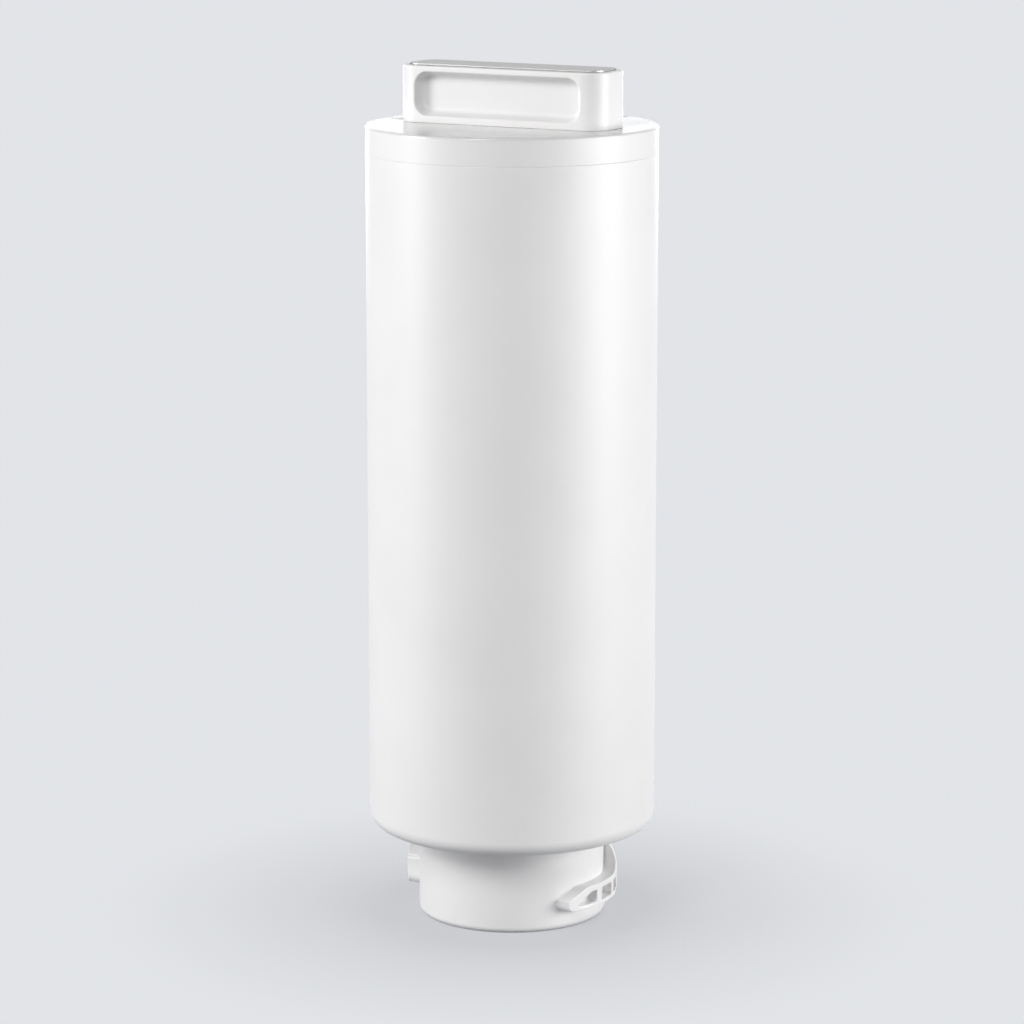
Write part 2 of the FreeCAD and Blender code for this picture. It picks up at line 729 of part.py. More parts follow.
def make_lower_end_cap():
    """Cup glued to the roll's foot. It gathers the concentrate and carries it to the stem through
    its socket. It stands on feet, between which the feed water flows out to the barrel's wall."""
    body = new_body("lower_end_cap")
    plate_foot = "socket_top - plate_thickness"
    revolve(
        body,
        [
            ("socket_bore", "socket_base"),
            ("socket_bore + socket_wall", "socket_base"),
            ("socket_bore + socket_wall", plate_foot),
            ("cup_radius", plate_foot + " + plate_rise"),
            ("cup_radius", "roll_base + end_cap_lap"),
            ("cup_bore", "roll_base + end_cap_lap"),
            ("cup_bore", "roll_base"),
            ("ledge_bore", "roll_base"),
            ("ledge_bore", "socket_top + plate_rise"),
            ("socket_bore + socket_wall", "socket_top"),
            ("socket_bore", "socket_top"),
        ],
        block("hub_bore", "hub_radius", "spoke_base", "roll_base"),
    )
    spoke = pad(body, radial_bar("hub_radius - web_root", "ledge_bore + web_root", "spoke_thickness"),
                "spoke_base", "end_cap_face")
    repeat_round(body, spoke, "spoke_count")
    foot = pad(body, radial_bar("cup_radius - foot_length", "cup_radius", "foot_thickness"),
               "floor_top + floor_haunch", "socket_top + plate_rise - floor_top - floor_haunch")
    repeat_round(body, foot, "spoke_count")
    toe_end = "barrel_bore - floor_haunch - fin_clearance"
    toe = pad(body, radial_bar("cup_radius - foot_length", toe_end, "foot_thickness"),
              "floor_top", "floor_haunch")
    repeat_round(body, toe, "spoke_count")
    return body


def make_upper_end_cap():
    """Cup glued to the roll's head, with spokes that stop the turns from creeping and fins that
    keep the element in the middle of the barrel."""
    body = new_body("upper_end_cap")
    revolve(
        body,
        [
            ("cup_bore", "roll_top - end_cap_lap"),
            ("cup_radius", "roll_top - end_cap_lap"),
            ("cup_radius", "element_top"),
            ("ledge_bore", "element_top"),
            ("ledge_bore", "roll_top"),
            ("cup_bore", "roll_top"),
        ],
        block("hub_bore", "hub_radius", "roll_top", "element_top"),
    )
    spoke = pad(body, radial_bar("hub_radius - web_root", "ledge_bore + web_root", "spoke_thickness"),
                "roll_top", "end_cap_face")
    repeat_round(body, spoke, "spoke_count")
    fin = pad(body, radial_bar("cup_radius - web_root", "barrel_bore - fin_clearance", "fin_thickness"),
              "element_top - fin_height", "fin_height")
    repeat_round(body, fin, "spoke_count")
    return body


def make_permeate_tube():
    """Core tube of the roll, with rows of holes that let the permeate in."""
    body = new_body("permeate_tube")
    revolve(body, block("tube_bore", "tube_radius", "tube_base", "tube_top"))
    lowest = "(roll_base + roll_top) / 2 - (tube_hole_count - 1) * tube_hole_pitch / 2"
    for plane in ("XZ_Plane", "YZ_Plane"):
        hole = drill(body, [("0", lowest)], "tube_hole_radius", "0", "2 * tube_radius", plane)
        hole.Midplane = True
        repeat_up(body, hole, "tube_hole_count", "(tube_hole_count - 1) * tube_hole_pitch")
    return body


def make_tube_plug():
    """Plug that shuts the tube's upper end, with a groove for its ring."""
    body = new_body("tube_plug")
    revolve(body, [
        ("0", "tube_top - plug_depth"),
        ("permeate_nozzle_radius - lead_in", "tube_top - plug_depth"),
        ("permeate_nozzle_radius", "tube_top - plug_depth + lead_in"),
        ("permeate_nozzle_radius", "tube_top"),
        ("tube_radius", "tube_top"),
        ("tube_radius", "tube_top + plug_head_thickness"),
        ("0", "tube_top + plug_head_thickness"),
    ])
    bore, level, surface = INNER_RINGS["plug_ring"]
    depth = "%s - %s + inner_ring_section" % (surface, bore)
    groove(body, ring_groove(surface, depth, "inner_ring_section", level))
    return body


def make_roll():
    """Membrane and spacer leaves wound on the tube, as one solid. Its outside is one turn of a spiral,
    drawn as four arcs that each run a quarter of a lap further out, and ends in the last lap's step."""
    roll = doc.addObject("Part::Feature", "membrane_roll")
    outer, lap = value("roll_radius"), value("lap_thickness")

    def on_spiral(eighth):
        radius = outer - lap * (1 - eighth / 8)
        return Vector(radius * math.cos(eighth * math.pi / 4), radius * math.sin(eighth * math.pi / 4), 0)

    turn = [Part.Arc(*(on_spiral(i + step) for step in range(3))).toShape() for i in (0, 2, 4, 6)]
    outline = Part.Wire(turn + [Part.makeLine(on_spiral(8), on_spiral(0))])
    wound = Part.Face(outline).extrude(Vector(0, 0, value("roll_length")))
    core = Part.makeCylinder(value("tube_radius + glue_gap"), value("roll_length"))
    roll.Shape = wound.cut(core)
    roll.Placement = Placement(Vector(0, 0, value("roll_base")), Rotation())
    return roll


def make_roll_wrap():
    """Tape skin wound round the roll."""
    body = new_body("roll_wrap")
    revolve(body, block("roll_radius + glue_gap", "wrap_radius", "roll_base", "roll_top"))
    return body


def check_and_write(pieces):
    """Stops if anything in the document failed, then writes each piece to its own file."""
    doc.recompute()
    for thing in doc.Objects:
        if {"Invalid", "Error"} & set(thing.State):
            raise RuntimeError("%s failed: %s" % (thing.Label, thing.State))
    for piece in pieces:
        shape = piece.Shape
        if shape.isNull() or not shape.isValid() or not shape.Solids:
            raise RuntimeError(piece.Label + " has no valid solid")
        if piece.Label != "grip_screws" and len(shape.Solids) != 1:
            raise RuntimeError("%s is in %d solids" % (piece.Label, len(shape.Solids)))
    os.makedirs("parts", exist_ok=True)
    for piece in pieces:
        piece.Shape.exportStep(os.path.join("parts", piece.Label + ".step"))
        box = piece.Shape.BoundBox
        print("%-20s %9.0f mm3  z %.1f to %.1f" % (piece.Label, piece.Shape.Volume, box.ZMin, box.ZMax))


check_and_write([
    make_barrel(),
    make_top_cap(),
    make_grip(),
    make_inlay(),
    make_screws(),
    make_stem(),
    *make_rings(),
    make_lower_end_cap(),
    make_upper_end_cap(),
    make_permeate_tube(),
    make_tube_plug(),
    make_roll(),
    make_roll_wrap(),
])
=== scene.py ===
"""Looks of a reverse osmosis filter cartridge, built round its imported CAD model.

Lengths are in millimetres until a mesh, lamp or camera is made. Heights are above the neck's rim.
Outlines run counter-clockwise, seen from outside, so that faces carried along them point outwards.
"""
import math

import bmesh
import bpy
import numpy as np
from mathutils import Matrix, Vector
from mathutils.geometry import delaunay_2d_cdt


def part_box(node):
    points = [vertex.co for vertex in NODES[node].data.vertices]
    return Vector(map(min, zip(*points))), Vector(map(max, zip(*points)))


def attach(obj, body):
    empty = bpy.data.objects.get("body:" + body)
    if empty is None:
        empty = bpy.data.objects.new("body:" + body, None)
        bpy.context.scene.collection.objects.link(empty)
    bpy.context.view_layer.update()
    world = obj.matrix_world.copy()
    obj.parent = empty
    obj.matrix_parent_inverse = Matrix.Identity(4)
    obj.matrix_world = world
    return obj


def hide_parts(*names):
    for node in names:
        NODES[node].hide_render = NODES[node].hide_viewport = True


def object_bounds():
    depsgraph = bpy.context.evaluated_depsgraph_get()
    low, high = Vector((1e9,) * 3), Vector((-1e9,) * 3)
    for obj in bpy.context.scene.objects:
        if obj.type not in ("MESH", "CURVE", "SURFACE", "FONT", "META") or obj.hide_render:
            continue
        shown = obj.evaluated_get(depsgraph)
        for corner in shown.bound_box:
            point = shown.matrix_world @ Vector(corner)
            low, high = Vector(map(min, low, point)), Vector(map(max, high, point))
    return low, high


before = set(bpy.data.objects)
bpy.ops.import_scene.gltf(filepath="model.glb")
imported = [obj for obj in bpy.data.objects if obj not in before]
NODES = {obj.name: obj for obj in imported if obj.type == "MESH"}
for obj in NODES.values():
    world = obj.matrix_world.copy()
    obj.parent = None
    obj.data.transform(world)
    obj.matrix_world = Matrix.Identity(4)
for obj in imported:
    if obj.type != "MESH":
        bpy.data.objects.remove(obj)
cad_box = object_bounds()

METRES = 0.001


def node_box(name):
    """Lowest and highest corner of a CAD node, in millimetres."""
    low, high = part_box(name)
    return np.array(low) / METRES, np.array(high) / METRES


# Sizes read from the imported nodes' boxes.
BARREL_TOP = node_box("barrel")[1][2]
CAP_LOW, CAP_HIGH = node_box("top_cap")
GRIP_LOW, GRIP_HIGH = node_box("grip")
STRIP_LOW, STRIP_HIGH = node_box("grip_inlay")
BODY_RADIUS = CAP_HIGH[0]

# Sizes that no box gives: the lid's parting line, the radii of the neck, its mouth and the hole for the
# stem, and the levels of the shoulder and of the barrel's floor.
PARTING = CAP_LOW[2] + 2.5
NECK_RADIUS, MOUTH_RADIUS, STEM_HOLE_RADIUS = 36.0, 32.4, 24.65
SHOULDER, FLOOR_TOP = 35.0, 40.0

# Points round the body and the lid, and round the tubes and rings.
BODY_POINTS, TUBE_POINTS = 320, 144

# Points nearer than this are made one.
SEAM = 0.004


# Outlines and the patches of faces made from them.

def unit(vector):
    return vector / np.linalg.norm(vector)


def rounded(corners, closed=True, step=9.0, support=0.2):
    """Path through corners (a, b, radius), with its outward normals.

    A corner becomes the arc that touches both its sides: centre + radius * normal, as the normal
    turns evenly from one side's to the other's. Points a little beside each arc keep the sides flat.
    """
    corners = np.array(corners, float)
    places, radii = corners[:, :2], corners[:, 2]
    heading = np.roll(places, -1, 0) - places
    lengths = np.linalg.norm(heading, axis=1)
    heading = heading / lengths[:, None]
    right = np.stack([heading[:, 1], -heading[:, 0]], 1)
    came = np.roll(heading, 1, 0)
    turn = np.arctan2(came[:, 0] * heading[:, 1] - came[:, 1] * heading[:, 0], (came * heading).sum(1))
    reach = radii * np.abs(np.tan(turn / 2))
    if not closed:
        turn[[0, -1]], reach[[0, -1]] = 0.0, 0.0
        right[-1] = right[-2]
    spare = lengths - reach - np.roll(reach, -1)
    points, normals = [], []
    for i in range(len(corners)):
        first, last = not closed and i == 0, not closed and i == len(corners) - 1
        before = right[i] if first else right[i - 1]
        if not first and spare[i - 1] > 3 * support:
            points.append(places[i] - came[i] * (reach[i] + support))
            normals.append(before)
        if radii[i] and not (first or last):
            share = np.linspace(0, 1, max(3, math.ceil(abs(math.degrees(turn[i])) / step) + 1))
            angle = math.atan2(before[1], before[0]) + turn[i] * share
            arc = np.stack([np.cos(angle), np.sin(angle)], 1)
            start = places[i] - came[i] * reach[i]
            centre = start - before * radii[i] * np.sign(turn[i])
            points.extend(centre + arc * radii[i] * np.sign(turn[i]))
            normals.extend(arc)
        else:
            points.append(places[i])
            normals.append(unit(before + right[i]))
        if not last and spare[i] > 3 * support:
            points.append(places[i] + heading[i] * (reach[i] + support))
            normals.append(right[i])
    return np.array(points), np.array(normals)


def divided(points, normals, longest):
    """The same closed loop with its longer sides split evenly. A new point is its side's start + share *
    side, and takes its side's normal."""
    ahead = np.roll(points, -1, 0) - points
    lengths = np.linalg.norm(ahead, axis=1)
    parts = np.maximum(1, np.ceil(lengths / longest).astype(int))
    side = np.repeat(np.arange(len(points)), parts)
    share = (np.arange(len(side)) - np.repeat(np.cumsum(parts) - parts, parts)) / parts[side]
    flat = np.column_stack([ahead[:, 1], -ahead[:, 0]])[side] / lengths[side, None]
    ways = np.where(share[:, None] > 0, flat, normals[side])
    return points[side] + ahead[side] * share[:, None], ways


def skin(rings, rings_close=False):
    """Patch through a stack of closed rings with as many points each: an array (rings, points, 3). A face
    joins a ring's points j and j + 1 to those of the next ring."""
    rings = np.asarray(rings)
    rows, columns = rings.shape[:2]
    i, j = np.meshgrid(np.arange(rows if rings_close else rows - 1), np.arange(columns), indexing="ij")
    i, j = i.ravel(), j.ravel()
    up, along = (i + 1) % rows, (j + 1) % columns
    faces = np.stack([i * columns + j, i * columns + along, up * columns + along, up * columns + j], 1)
    return rings.reshape(-1, 3), faces


def rings_of(profile, count):
    """A profile of (radius, height) carried round the upright axis:
    x = radius * cos(angle), y = radius * sin(angle), z = height."""
    angle = np.arange(count) * 2 * np.pi / count
    radius, height = profile[:, 0, None], profile[:, 1, None]
    return np.stack([radius * np.cos(angle), radius * np.sin(angle), height + 0 * angle], -1)


def turned(profile, count):
    """Patch of a closed profile carried round the axis."""
    return skin(rings_of(profile, count), rings_close=True)


def inside(places, loop):
    """Which places a closed loop goes round: those from which a ray crosses it an odd number of times."""
    a, b = loop[None], np.roll(loop, -1, 0)[None]
    x, y = places[:, 0, None], places[:, 1, None]
    straddles = (a[..., 1] > y) != (b[..., 1] > y)
    rise = np.where(a[..., 1] == b[..., 1], 1.0, b[..., 1] - a[..., 1])
    cross = a[..., 0] + (y - a[..., 1]) * (b[..., 0] - a[..., 0]) / rise
    return (straddles & (x < cross)).sum(1) % 2 == 1


def clear_of(places, loop, margin):
    """Which places lie further than a margin from all of a loop's points."""
    return np.linalg.norm(places[:, None] - loop[None], axis=2).min(1) > margin


def lattice(loop, pitch, margin=0.5):
    """Points on a square lattice inside a loop, none nearer than a margin to the loop's own points."""
    low, high = loop.min(0), loop.max(0)
    a, b = np.meshgrid(np.arange(low[0] + pitch / 2, high[0], pitch),
                       np.arange(low[1] + pitch / 2, high[1], pitch))
    places = np.column_stack([a.ravel(), b.ravel()])
    places = places[inside(places, loop)]
    return places[clear_of(places, loop, margin)]


def filled(outer, holes=(), extra=None, place=None):
    """Triangles over the flat area inside one loop and outside others, through extra points as well.
    `place` then carries the flat points (a, b) to their places in space. The loops are rounded as the
    triangulation rounds its points, so that thin triangles along a straight side count as inside."""
    outer, *holes = (np.float32(loop).astype(float) for loop in (outer, *holes))
    loops = [outer, *holes]
    given = np.concatenate(loops if extra is None else [*loops, extra])
    starts = np.cumsum([0] + [len(loop) for loop in loops])
    edges = np.concatenate([
        start + np.column_stack([np.arange(len(loop)), np.roll(np.arange(len(loop)), -1)])
        for start, loop in zip(starts, loops)])
    found, _, faces, *_ = delaunay_2d_cdt(given.tolist(), edges.tolist(), [], 0, 1e-6)
    flat, faces = np.array(found, float), np.array(faces)
    middle = flat[faces].mean(1)
    keep = inside(middle, outer)
    for hole in holes:
        keep &= ~inside(middle, hole)
    return place(flat), faces[keep]


def at_level(height):
    """Carries flat points (x, y) to a level."""
    def place(flat):
        return np.column_stack([flat, np.full(len(flat), height)])
    return place


def flipped(patch):
    points, faces = patch
    return points, faces[:, ::-1]


def circle(x, y, radius, count):
    """Loop of points (x + radius * cos, y + radius * sin)."""
    angle = np.arange(count) * 2 * np.pi / count
    return np.column_stack([x + radius * np.cos(angle), y + radius * np.sin(angle)])


def make_piece(name, patches, slot, *nodes):
    """One mesh from patches of points and faces, with the points along their seams made one."""
    mesh = bpy.data.meshes.new(name)
    points, faces, start = [], [], 0
    for patch_points, patch_faces in patches:
        points.append(patch_points * METRES)
        faces.extend((patch_faces + start).tolist())
        start += len(patch_points)
    mesh.from_pydata(np.concatenate(points).tolist(), [], faces)
    merged = bmesh.new()
    merged.from_mesh(mesh)
    bmesh.ops.remove_doubles(merged, verts=merged.verts, dist=SEAM * METRES)
    merged.to_mesh(mesh)
    merged.free()
    mesh.shade_smooth()
    piece = bpy.data.objects.new(name, mesh)
    bpy.context.scene.collection.objects.link(piece)
    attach(piece, "root")
    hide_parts(*nodes)
    return piece


# The pieces, from the neck up.

def make_barrel_shell():
    """Shell, floor and neck: one closed profile turned about the axis. It runs from the neck's rim up the
    outside, over the tongue that holds the lid, and down the bore and the floor to the mouth."""
    bore, tongue, haunch = BODY_RADIUS - 3.5, BODY_RADIUS - 1.9, 4
    profile, _ = rounded([
        (NECK_RADIUS, 0, 2.2), (NECK_RADIUS, SHOULDER, 0.5),
        (BODY_RADIUS, SHOULDER, 5.5), (BODY_RADIUS, PARTING, 0.2),
        (tongue, PARTING, 0.2), (tongue, BARREL_TOP, 0.3),
        (bore, BARREL_TOP, 0.3), (bore, FLOOR_TOP + haunch, 0.5),
        (bore - haunch, FLOOR_TOP, 0.5), (STEM_HOLE_RADIUS, FLOOR_TOP, 0.3),
        (STEM_HOLE_RADIUS, SHOULDER, 0.3), (MOUTH_RADIUS, SHOULDER, 0.5),
        (MOUTH_RADIUS, 0, 0.3),
    ])
    return make_piece("barrel_shell", [turned(profile, BODY_POINTS)], "white_polypropylene", "barrel")


# Lugs: how far they reach from the axis, how deep their root lies under their face, the radius of the
# pockets' floors, the level from which the stop bends in, the radius of that bend, and their places.
LUG_REACH, LUG_ROOT, POCKET_FLOOR = 41.0, 6.0, 37.0
STOP_LOW, STOP_BEND = 19.5, 10.2
LUG_AZIMUTHS = (-3.0, 177.0)


def lug_outline():
    """A lug as seen along its slide: across (u) and up (z), each corner with its radius. Its stop is a
    thin rib that rises under the shoulder, set in a little from the lug's end."""
    foot, top, ledge, stop_top = 7.7, 16.4, 19.2, 27.5
    return [
        (-18, foot, 2.6), (18, foot, 4.5), (18, ledge, 1.0), (16.8, ledge, 0.2), (16.8, stop_top, 0.6),
        (14.5, stop_top, 0.6), (14.5, top, 3.8), (-9, top, 6.0), (-18, 12.1, 0.4),
    ]


def pocket_outlines():
    """The lug's three hollows, across and up, from its low tip to its stop."""
    low, high = 9.3, 14.1
    return [
        [(-13.3, low, 0.6), (-3.6, low, 0.6), (-3.6, high, 0.6), (-6.8, high, 4.0), (-13.3, low + 1.2, 0.6)],
        [(-0.3, low, 0.6), (8.4, low, 0.6), (8.4, high, 0.6), (-0.3, high, 0.6)],
        [(10.9, low, 0.6), (15.2, low, 0.6), (15.2, high, 0.6), (10.9, high, 0.6)],
    ]


def rim_rings(outline, normals, edge, deep):
    """Rings of flat points with their depth below the lug's face: up its side, and round its edge, in and
    down by edge * (1 - cos, 1 - sin) of an angle. A ring just above the root keeps the side flat."""
    angle = np.radians(np.linspace(0, 90, 6))
    inwards = np.concatenate([[0, 0, 0], edge * (1 - np.cos(angle))])
    depth = np.concatenate([[deep, deep - 0.4, edge + 0.2], edge * (1 - np.sin(angle))])
    return [(outline - normals * i, d) for i, d in zip(inwards, depth)]


def on_lug(flat, depth, radius=LUG_REACH):
    """Carries flat points (u, z) along the slide to a cylinder: outwards = sqrt(radius^2 - u^2) - depth,
    sideways = u, up = z. Above its level the stop bends back to the neck on an arc: outwards falls by
    bend - sqrt(bend^2 - (z - level)^2). The root, inside the neck's wall, doesn't bend."""
    rise = np.clip(flat[:, 1] - STOP_LOW, 0, None)
    bend = 0 if depth > LUG_ROOT - 1 else STOP_BEND - np.sqrt(STOP_BEND ** 2 - rise ** 2)
    outwards = np.sqrt(radius ** 2 - flat[:, 0] ** 2) - depth - bend
    return np.column_stack([outwards, flat[:, 0], flat[:, 1]])


def make_bayonet_lugs():
    """Two lugs, the second the first turned by half a turn. Each has a side with a rounded edge, a face
    with three cored pockets, and a back inside the neck's wall."""
    patches, holes = [], []
    pitch, lip = 0.8, ((0.25, 0), (0.17, 0.02), (0.07, 0.08), (0, 0.25), (0, 0.45))
    outline, normals = divided(*rounded(lug_outline(), step=7.5), pitch)
    rings = rim_rings(outline, normals, 0.35, LUG_ROOT)
    patches.append(skin([on_lug(flat, depth) for flat, depth in rings]))
    for corners in pocket_outlines():
        loop, ways = rounded(corners, step=15)
        inner, foot = loop - ways * 0.3, on_lug(loop, 0, POCKET_FLOOR)
        holes.append(loop + ways * lip[0][0])
        patches.append(skin([*(on_lug(loop + ways * out, depth) for out, depth in lip),
                             foot + [0.45, 0, 0], foot, on_lug(inner, 0, POCKET_FLOOR)]))
        patches.append(filled(inner, extra=lattice(inner, 1.5),
                              place=lambda flat: on_lug(flat, 0, POCKET_FLOOR)))
    face = rings[-1][0]
    patches.append(filled(face, holes, extra=lattice(face, pitch, 0.35), place=lambda flat: on_lug(flat, 0)))
    patches.append(flipped(filled(outline, place=lambda flat: on_lug(flat, LUG_ROOT))))
    both = []
    for azimuth in LUG_AZIMUTHS:
        c, s = math.cos(math.radians(azimuth)), math.sin(math.radians(azimuth))
        turn = np.array([[c, s, 0], [-s, c, 0], [0, 0, 1]])
        both += [(points @ turn, faces) for points, faces in patches]
    return make_piece("bayonet_lugs", both, "white_polypropylene", "barrel")


# Lid: its thickness under the flat top, and its small round forms, a raised dot and a shallow notch.
# Each form is x, y, radius, points round it, and steps (out, up) over its edge.
LID_THICK, DOT_HEIGHT, NOTCH_DEPTH = 5.0, 0.4, 0.5
LID_TOP = CAP_HIGH[2] - DOT_HEIGHT
NOTCH_AWAY, NOTCH_TURN = 51.5, math.radians(63)
DOT = (-49.0, 0.0, 3.2, 64, [
    (0.4, 0), (0.25, 0), (0.08, 0.03), (0, 0.12), (0, 0.3), (-0.05, 0.37),
    (-0.15, DOT_HEIGHT), (-0.35, DOT_HEIGHT)])
NOTCH = (NOTCH_AWAY * math.cos(NOTCH_TURN), NOTCH_AWAY * math.sin(NOTCH_TURN), 1.6, 40, [
    (0.25, 0), (0.1, 0), (0.03, -0.03), (0, -0.1), (0, -0.4), (-0.03, -0.47),
    (-0.1, -NOTCH_DEPTH), (-0.3, -NOTCH_DEPTH)])


def round_form(x, y, radius, count, steps):
    """A small round form on the lid: circles of radius + out at the lid's top + up, and the flat area
    within the last. Gives the opening that it needs in the lid, and its patches."""
    rings = [at_level(LID_TOP + up)(circle(x, y, radius + out, count)) for out, up in steps]
    last = filled(rings[-1][:, :2], place=at_level(LID_TOP + steps[-1][1]))
    return rings[0][:, :2], [skin(rings), last]


def make_lid():
    """Welded cap: a skirt and rounded edge turned about the axis, a top face with its two round forms,
    and a plain underside."""
    under, lap = LID_TOP - LID_THICK, BODY_RADIUS - 1.8
    profile, _ = rounded([
        (lap - 2, under, 0), (lap, under, 0.4),
        (lap, PARTING, 0.3), (BODY_RADIUS, PARTING, 0.2),
        (BODY_RADIUS, LID_TOP, 0.9), (BODY_RADIUS - 1.3, LID_TOP, 0),
    ], closed=False)
    rings = rings_of(profile, BODY_POINTS)
    openings, forms = zip(*(round_form(*form) for form in (DOT, NOTCH)))
    patches = [skin(rings), filled(rings[-1][:, :2], openings, place=at_level(LID_TOP)),
               flipped(filled(rings[0][:, :2], place=at_level(under))), *forms[0], *forms[1]]
    return make_piece("lid", patches, "white_polypropylene", "top_cap")


# Grip: how far the cover strip stands proud of its rim, and the half length, corners, depth, roof and
# foot of a finger recess.
STRIP_PROUD = 0.6
GRIP_RIM = GRIP_HIGH[2] - STRIP_PROUD
RECESS_HALF, RECESS_CORNER, RECESS_DEEP = 70.5 / 2, 5.5, 4.4
RECESS_ROOF = GRIP_RIM - 2.1
RECESS_FOOT = RECESS_ROOF - 16.7


def grip_outline(inset=0.0):
    """Rounded rectangle of the grip seen from above, at an inset from its side, with its normals.
    It starts on the grip's right end, so that each long side is in one run."""
    half_length, half_width, radius = GRIP_HIGH[0], GRIP_HIGH[1], 8.5
    outline, normals = rounded([
        (half_length, half_width, radius), (-half_length, half_width, radius),
        (-half_length, -half_width, radius), (half_length, -half_width, radius),
    ], step=4.5)
    return outline - normals * inset, normals


def grip_rings(steps):
    """Rings of the grip's outline at steps (inset, height)."""
    return [at_level(height)(grip_outline(inset)[0]) for inset, height in steps]


def recess_steps():
    """Steps (out from the opening, in from the grip's side) down a finger recess: a round lip, a wall
    that leans by the mould's draft, a hollow foot. An arc's points are centre + radius * (sin, cos)."""
    draft, lip, hollow = math.radians(20), 0.5, 2.0
    turning = np.linspace(0, math.pi / 2 - draft, 9)
    rim = [(0.6, 0), *((0.35 - lip * math.sin(a), lip - lip * math.cos(a)) for a in turning)]
    out, deep = rim[-1]
    down = RECESS_DEEP - hollow + hollow * math.sin(draft) - deep
    wall = [(out - share * down * math.tan(draft), deep + share * down) for share in (0.07, 0.93)]
    centre = out - down * math.tan(draft) - hollow * math.cos(draft)
    foot = [(centre + hollow * math.sin(a), RECESS_DEEP - hollow + hollow * math.cos(a))
            for a in turning[::-1]]
    return [*rim, *wall, *foot, (centre - 0.25, RECESS_DEEP)]


def make_grip():
    """Grip: its side unrolled to (along the outline, up) with two round-cornered openings, each with its
    finger recess, and its top rounded over a rim and stepped in to the seat of the cover strip."""
    outline, normals = grip_outline()
    chain, ways = np.vstack([outline, outline[:1]]), np.vstack([normals, normals[:1]])
    travel = np.concatenate([[0], np.cumsum(np.linalg.norm(np.diff(chain, axis=0), axis=1))])

    def on_side(flat, depth=0.0):
        """Outline at that travel, in by the depth along the outline's normal, at that height."""
        x, y, out_x, out_y = (np.interp(flat[:, 0], travel, column) for column in (*chain.T, *ways.T))
        return np.column_stack([x - depth * out_x, y - depth * out_y, flat[:, 1]])

    edge, seat_inset, corner, pitch = 0.7, 2.5, 0.2, 1.5
    foot, top, seat = GRIP_LOW[2], GRIP_RIM, STRIP_LOW[2]
    low, high = foot + 0.5, top - edge - 0.2
    steps = recess_steps()
    patches, holes = [], []
    for side in (-1, 1):
        on_it = np.abs(outline[:, 1] - side * GRIP_HIGH[1]) < 1e-6
        order = np.argsort(outline[on_it, 0])
        middle = np.interp(0, outline[on_it, 0][order], travel[:-1][on_it][order])
        left, right = middle - RECESS_HALF, middle + RECESS_HALF
        loop, out = rounded([
            (left, RECESS_FOOT, RECESS_CORNER), (right, RECESS_FOOT, RECESS_CORNER),
            (right, RECESS_ROOF, RECESS_CORNER), (left, RECESS_ROOF, RECESS_CORNER),
        ], step=6)
        holes.append(loop + out * steps[0][0])
        patches.append(skin([on_side(loop + out * shift, depth) for shift, depth in steps]))
        patches.append(filled(loop + out * steps[-1][0], place=lambda flat: on_side(flat, RECESS_DEEP)))
    along, up = np.meshgrid(travel[1:-1], np.arange(low + pitch, high - 1, pitch))
    extra = np.column_stack([along.ravel(), up.ravel()])
    for hole in holes:
        extra = extra[~inside(extra, hole) & clear_of(extra, hole, 0.4)]
    side_loop = np.vstack([np.column_stack([travel, np.full(len(travel), low)]),
                           np.column_stack([travel[::-1], np.full(len(travel), high)])])
    patches.append(filled(side_loop, holes, extra=extra, place=on_side))
    patches.append(skin(grip_rings([(0.25, foot), (0.06, foot + 0.1), (0, foot + 0.3), (0, low)])))
    over = [(edge * (1 - math.cos(a)), top - edge + edge * math.sin(a))
            for a in np.radians(np.linspace(0, 90, 8))]
    into = [(seat_inset - corner + corner * math.sin(a), top - corner + corner * math.cos(a))
            for a in np.radians(np.linspace(0, 90, 5))]
    patches.append(skin(grip_rings([
        (0, high), *over, (edge + 0.2, top), (seat_inset - 0.4, top), *into,
        (seat_inset, seat + 0.2), (seat_inset, seat), (seat_inset + 0.2, seat)])))
    patches.append(filled(grip_outline(seat_inset + 0.2)[0], place=at_level(seat)))
    patches.append(flipped(filled(grip_outline(0.25)[0], place=at_level(foot))))
    return make_piece("grip_shell", patches, "white_polypropylene", "grip")


def make_cover_strip():
    """Cover strip: the grip's outline set in, raised a little over the rim, with a fine rounded edge."""
    low, high = STRIP_LOW[2], GRIP_HIGH[2]
    inset = GRIP_HIGH[0] - STRIP_HIGH[0]
    steps = [(inset, low), (inset, high - 0.15), (inset + 0.04, high - 0.04), (inset + 0.15, high),
             (inset + 0.4, high)]
    patches = [skin(grip_rings(steps)),
               filled(grip_outline(steps[-1][0])[0], place=at_level(high)),
               flipped(filled(grip_outline(inset)[0], place=at_level(low)))]
    return make_piece("cover_strip", patches, "silver_film", "grip_inlay")


def ring_groove(ring, surface, half=1.6, depth=1.9):
    """Corners of the groove that holds a sealing ring, in a tube's outer surface at the ring's level."""
    low, high = node_box(ring)
    level = (low[2] + high[2]) / 2
    return [(surface, level - half, 0.2), (surface - depth, level - half, 0.2),
            (surface - depth, level + half, 0.2), (surface, level + half, 0.2)]


def web(inner, outer, low, high, quarter, thickness=2.4):
    """A bar between two tubes: its round-edged section, seen along the radius, carried outwards."""
    half = thickness / 2
    section, _ = rounded([(-half, low, 0.4), (half, low, 0.4), (half, high, 0.4), (-half, high, 0.4)],
                         step=30)
    c, s = math.cos(quarter * math.pi / 2), math.sin(quarter * math.pi / 2)

    def at_radius(radius):
        return lambda flat: np.column_stack([radius * c - flat[:, 0] * s, radius * s + flat[:, 0] * c,
                                             flat[:, 1]])

    return [skin([at_radius(inner)(section), at_radius(outer)(section)]),
            filled(section, place=at_radius(outer)), flipped(filled(section, place=at_radius(inner)))]


